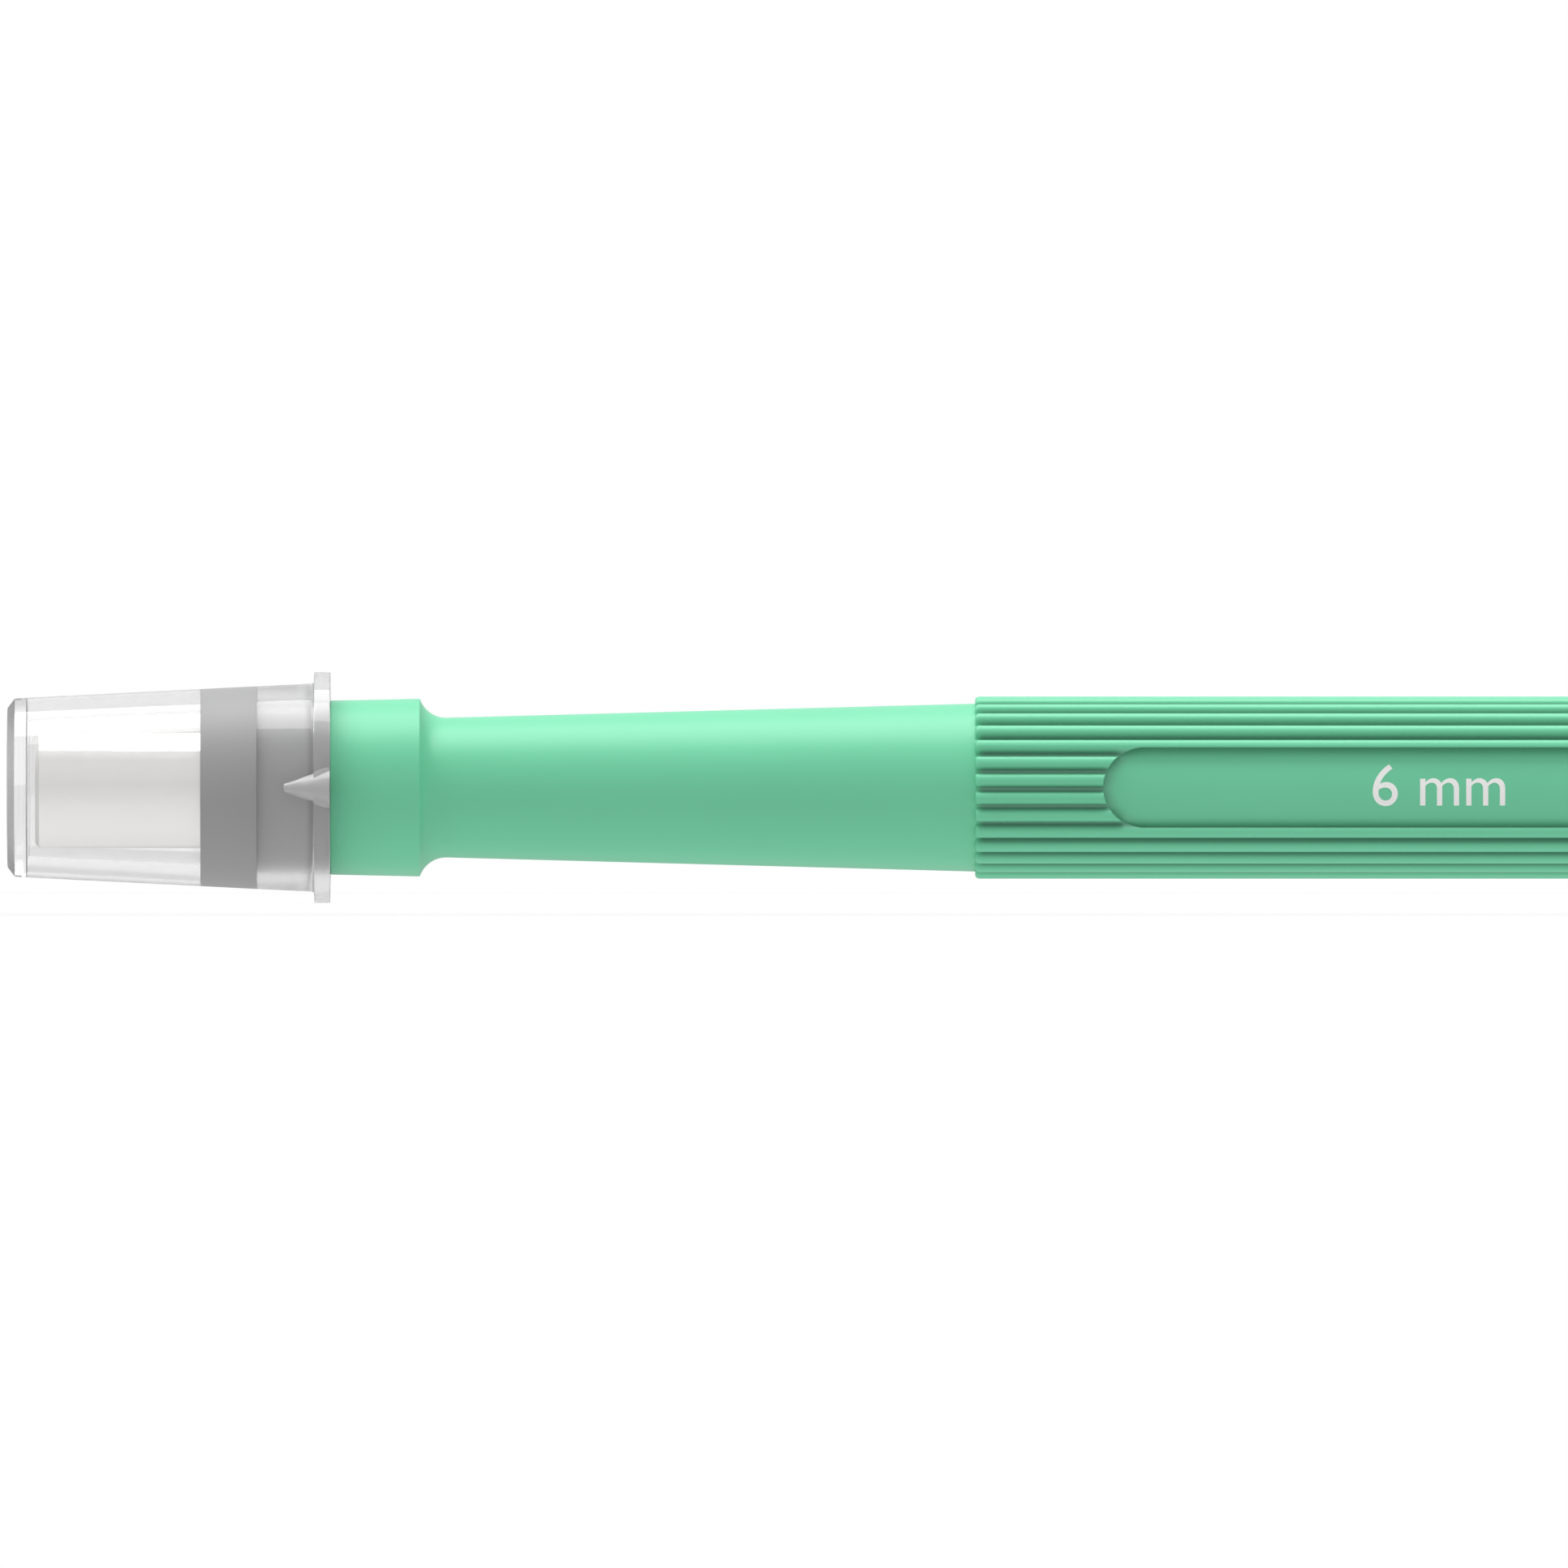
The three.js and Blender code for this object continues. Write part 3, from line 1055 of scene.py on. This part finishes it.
# %% Green and grey plastic
CLOUD_SIZE = 2.5  # mm
CLOUD_STRETCH = (0.35, 1, 1)
GLOSS_CHANGE = 0.03
GREEN = (0.134, 0.56, 0.325)
# Painted shade: GREEN_SHADOW is the colour the green is darkened to in the grooves and round each panel
# floor's rim.
GREEN_SHADOW = (0.135, 0.375, 0.25)
NOSE_GREY = (0.4, 0.4, 0.4)
BAND_GREY = (0.29, 0.29, 0.292)
GROOVE_DARK_R = 4.44 * MM  # the painted shade is full up to here
GROOVE_LIT_R = 4.76 * MM  # and gone from here
OFF_FLOOR = (4.21 * MM, 4.25 * MM)  # a panel's floor gives way to rib and groove between these
# Painted shade round the rim of each panel's floor: how wide it is, and how strong at the edge.
RIM_SHADE_WIDTH = 0.6 * MM
RIM_SHADE = 0.5
GRIP_SHADE_START = 0.5 * MM  # how far behind the grip's front end the painted shade is full


def moulded(name, colour, roughness, grain=0.06, depth=0.0012, cloud=0.03):
    """Satin moulded plastic with a fine grain and faint clouds."""
    material, tree, shader = new_finish(name)
    fine = noise(tree, in_millimetres(tree), grain)
    broad = noise(tree, in_millimetres(tree, CLOUD_STRETCH), CLOUD_SIZE)
    clouds = blend(tree, broad, shade(colour, 1 - cloud), shade(colour, 1 + cloud))
    tree.links.new(clouds, shader.inputs["Base Color"])
    gloss = combine(
        tree,
        "ADD",
        spread(tree, fine, roughness - GLOSS_CHANGE, roughness + GLOSS_CHANGE),
        spread(tree, broad, -GLOSS_CHANGE, GLOSS_CHANGE),
    )
    tree.links.new(gloss, shader.inputs["Roughness"])
    bump(tree, shader, fine, depth)
    return material


def from_panel_edge(tree):
    """How far a place lies outside the panels' round-ended outline; inside it is negative."""
    place = tree.nodes.new("ShaderNodeTexCoord")
    centred = tree.nodes.new("ShaderNodeVectorMath")
    centred.inputs[1].default_value = ((PANEL_LEFT + PANEL_RIGHT) / 2, 0, 0)
    mirrored = tree.nodes.new("ShaderNodeVectorMath")
    beyond = tree.nodes.new("ShaderNodeVectorMath")
    straight = (PANEL_RIGHT - PANEL_LEFT) / 2 - PANEL_HALF
    beyond.inputs[1].default_value = (straight, 1, 0)  # the 1 takes Y out of the distance
    outside = tree.nodes.new("ShaderNodeVectorMath")
    outside.inputs[1].default_value = (0, 0, 0)
    length = tree.nodes.new("ShaderNodeVectorMath")
    steps = (
        (centred, "SUBTRACT"),
        (mirrored, "ABSOLUTE"),
        (beyond, "SUBTRACT"),
        (outside, "MAXIMUM"),
    )
    before = place.outputs["Object"]
    for node, operation in steps:
        node.operation = operation
        tree.links.new(before, node.inputs[0])
        before = node.outputs["Vector"]
    length.operation = "LENGTH"
    tree.links.new(before, length.inputs[0])
    edge = tree.nodes.new("ShaderNodeMath")
    edge.operation = "SUBTRACT"
    edge.inputs[1].default_value = PANEL_HALF
    tree.links.new(length.outputs["Value"], edge.inputs[0])
    return edge.outputs[0]


def paint_groove_shade(material, shadow):
    """Paint shade into the grooves below the ribs' shoulders, and on the rim of each panel's floor."""
    tree = material.node_tree
    shader = tree.nodes["Principled BSDF"]
    clouds = shader.inputs["Base Color"].links[0].from_socket
    along, out = along_and_out(tree)
    # Painted shade in the grooves, below the ribs' shoulders.
    shoulder = fade(tree, out, GROOVE_DARK_R, GROOVE_LIT_R, 1.0, 0.0)
    over_panel = fade(tree, out, *OFF_FLOOR, 0.0, 1.0)
    groove = combine(tree, "MULTIPLY", shoulder, over_panel)
    on_floor = fade(tree, out, *OFF_FLOOR, 1.0, 0.0)
    # Painted shade on the panel floor, strongest at its edge.
    near_edge = fade(tree, from_panel_edge(tree), -RIM_SHADE_WIDTH, 0.0, 0.0, RIM_SHADE)
    rim = combine(tree, "MULTIPLY", on_floor, near_edge)
    on_grip = fade(tree, along, GRIP_FRONT, GRIP_FRONT + GRIP_SHADE_START, 0.0, 1.0)
    painted_shade = combine(tree, "MULTIPLY", combine(tree, "MAXIMUM", groove, rim), on_grip)
    node = tree.nodes.new("ShaderNodeMix")
    node.data_type = "RGBA"
    node.inputs["B"].default_value = (*shadow, 1)
    tree.links.new(painted_shade, node.inputs["Factor"])
    tree.links.new(clouds, node.inputs["A"])
    tree.links.new(node.outputs["Result"], shader.inputs["Base Color"])


green = moulded("green_plastic", GREEN, roughness=0.41)
# The green gets painted shade in its grooves and round its panels' floors.
paint_groove_shade(green, GREEN_SHADOW)
grey = moulded("grey_plastic", NOSE_GREY, roughness=0.42)
band_grey = moulded("band_grey", BAND_GREY, roughness=0.5, grain=0.05)
dress(handle, green)
dress(plug, green)
dress(nose, grey)
dress(band, band_grey)
print("plastics:", green.name, grey.name, band_grey.name)

# %% [markdown]
# ### Ground steel
#
# The tube is drawn, so its polish has fine lines along X. The bevel at the rim is ground while the
# tube spins, so there the lines run round it and the surface is duller. A factor that reads the
# distance along X picks one set of lines or the other.

# %% Steel
STEEL = (0.9, 0.89, 0.88, 1)
ALONG_TUBE = (0.02, 1, 1)
ROUND_TUBE = (1, 0.02, 0.02)
RIM_CHANGE = 0.02 * MM  # the length over which one set of lines gives way to the other


def ground_steel():
    """Polished steel with drawing lines along the tube and grinding lines round its rim."""
    material, tree, shader = new_finish("steel")
    shader.inputs["Base Color"].default_value = STEEL
    shader.inputs["Metallic"].default_value = 1.0
    drawn = noise(tree, in_millimetres(tree, ALONG_TUBE), 0.05, 2.0)
    turned = noise(tree, in_millimetres(tree, ROUND_TUBE), 0.02, 2.0)
    place = tree.nodes.new("ShaderNodeTexCoord")
    split = tree.nodes.new("ShaderNodeSeparateXYZ")
    rim = tree.nodes.new("ShaderNodeMapRange")
    rim.inputs["From Min"].default_value = TUBE_FRONT + EDGE_LENGTH - RIM_CHANGE
    rim.inputs["From Max"].default_value = TUBE_FRONT + EDGE_LENGTH
    lines = tree.nodes.new("ShaderNodeMix")
    gloss = tree.nodes.new("ShaderNodeMix")
    tree.links.new(place.outputs["Object"], split.inputs[0])
    tree.links.new(split.outputs["X"], rim.inputs["Value"])
    for mix, near, far in (
        (lines, turned, drawn),
        (gloss, spread(tree, turned, 0.4, 0.55), spread(tree, drawn, 0.07, 0.13)),
    ):
        tree.links.new(rim.outputs["Result"], mix.inputs["Factor"])
        tree.links.new(near, mix.inputs["A"])
        tree.links.new(far, mix.inputs["B"])
    tree.links.new(gloss.outputs["Result"], shader.inputs["Roughness"])
    bump(tree, shader, lines.outputs["Result"], 0.0004)
    return material


steel = ground_steel()
dress(tube, steel)
print("steel:", steel.name)

# %% [markdown]
# ### Clear cap
#
# The cap is clear polystyrene. Its skin is not quite flat, so what is seen through it wavers a
# little, and handling has left a slight haze that comes and goes. A few places are less clear than
# the rest. The tip with its chamfer and the inside of the socket kept the mould's matt finish. The
# flange and flutes, which stand proud of the skin, are a little milky. The wall is painted darker
# from the corner in front of the flange to the mouth: painted shade from the flange.

# %% Places on the cap
FLUTE_EDGE = 0.05 * MM  # half the width over which a flute's edge fades


def along_and_proud(tree):
    """Distance along X, and how far a place stands out from the cap's tapered skin."""
    along, out = along_and_out(tree)
    taper = tree.nodes.new("ShaderNodeMath")
    taper.operation = "MULTIPLY_ADD"
    taper.inputs[1].default_value = CAP_DRAFT
    taper.inputs[2].default_value = skin(0)
    tree.links.new(along, taper.inputs[0])
    return along, combine(tree, "SUBTRACT", out, taper.outputs[0])


def beside(tree, along):
    """1 on the flutes, which widen towards the cap's mouth, and 0 above and below them."""
    place = tree.nodes.new("ShaderNodeTexCoord")
    split = tree.nodes.new("ShaderNodeSeparateXYZ")
    tree.links.new(place.outputs["Object"], split.inputs[0])
    height = tree.nodes.new("ShaderNodeMath")
    height.operation = "ABSOLUTE"
    tree.links.new(split.outputs["Z"], height.inputs[0])
    reach = fade(tree, along, FLUTE_FRONT, CAP_MOUTH, FLUTE_FRONT_R, FLUTE_MOUTH_R)
    inside = combine(tree, "SUBTRACT", reach, height.outputs[0])
    return fade(tree, inside, -FLUTE_EDGE, FLUTE_EDGE, 0.0, 1.0)


def scaled(tree, value, factor):
    """A value times a constant."""
    node = tree.nodes.new("ShaderNodeMath")
    node.operation = "MULTIPLY"
    node.inputs[1].default_value = factor
    tree.links.new(value, node.inputs[0])
    return node.outputs[0]


# %% Clear plastic
POLYSTYRENE_IOR = 1.49
PROUD = (0.02 * MM, 0.1 * MM)  # between these a place comes to count as standing out
TIP_EDGE = TIP + CAP_CHAMFER
TIP_CHANGE = 0.02 * MM  # half the length over which the matt tip gives way to clear
# Painted shade: the length over which the cap's tint darkens towards the flange.
CORNER_LENGTH = 0.5 * MM
SOCKET_DEPTH = (-0.5 * MM, -0.4 * MM)  # under the skin: deeper than both is the socket's wall


def clear_plastic():
    """Clear plastic with a waver and a faint haze, less clear at the tip and flange."""
    material, tree, shader = new_finish("clear_plastic")
    shader.inputs["IOR"].default_value = POLYSTYRENE_IOR
    along, proud = along_and_proud(tree)
    tip_ends = (TIP_EDGE - TIP_CHANGE, TIP_EDGE + TIP_CHANGE)
    matt = fade(tree, along, *tip_ends, 0.7, 0.99)
    stands_out = fade(tree, proud, *PROUD, 0.0, 1.0)
    flute = combine(tree, "MULTIPLY", stands_out, beside(tree, along))
    # Painted shade: the tint darkens from the corner in front of the flange to the mouth.
    corner = fade(tree, along, FLANGE_FRONT - CORNER_LENGTH, FLANGE_FRONT, 0.0, 0.22)
    on_skin = fade(tree, proud, *PROUD, 1.0, 0.0)
    value = combine(tree, "SUBTRACT", matt, combine(tree, "MULTIPLY", corner, on_skin))
    value = combine(tree, "SUBTRACT", value, scaled(tree, flute, 0.45))
    tint = blend(tree, value, (0, 0, 0), (1, 1, 1))
    tree.links.new(tint, shader.inputs["Base Color"])
    milky = fade(tree, proud, *PROUD, 0.95, 0.88)
    clear = combine(tree, "SUBTRACT", milky, scaled(tree, flute, 0.55))
    tree.links.new(clear, shader.inputs["Transmission Weight"])
    broad = noise(tree, in_millimetres(tree, (0.3, 1, 1)), 1.5, 2.0)
    haze = spread(tree, noise(tree, in_millimetres(tree), 0.4, 4.0), 0.02, 0.06)
    rough = fade(tree, along, *tip_ends, 0.4, 0.0)
    socket = combine(
        tree,
        "MULTIPLY",
        fade(tree, along, CAP_STEP, CAP_SOCKET_FRONT, 0.0, 0.22),
        fade(tree, proud, *SOCKET_DEPTH, 1.0, 0.0),
    )
    matt_parts = combine(tree, "MAXIMUM", rough, socket)
    tree.links.new(combine(tree, "MAXIMUM", haze, matt_parts), shader.inputs["Roughness"])
    bump(tree, shader, broad, 0.0015)
    return material


clear = clear_plastic()
dress(cap, clear)
print("clear:", clear.name)

# %% [markdown]
# ### White ink
#
# Pad-printed ink lies as a film of uneven thickness. Where it is thin it is a little darker and
# greener, because the plastic shows.

# %% Ink
INK_THIN = (0.8, 0.82, 0.8)
INK_THICK = (0.9, 0.89, 0.87)


def printed_ink():
    """White ink whose colour, gloss and bump all follow the thickness of its film."""
    material, tree, shader = new_finish("white_ink")
    where = in_millimetres(tree)
    film = noise(tree, where, 0.05, 4.0)
    tree.links.new(
        blend(tree, spread(tree, film, 0, 1), INK_THIN, INK_THICK),
        shader.inputs["Base Color"],
    )
    tree.links.new(spread(tree, film, 0.5, 0.65), shader.inputs["Roughness"])
    bump(tree, shader, film, 0.001)
    return material


ink = printed_ink()
dress(mark, ink)
print("ink:", ink.name)
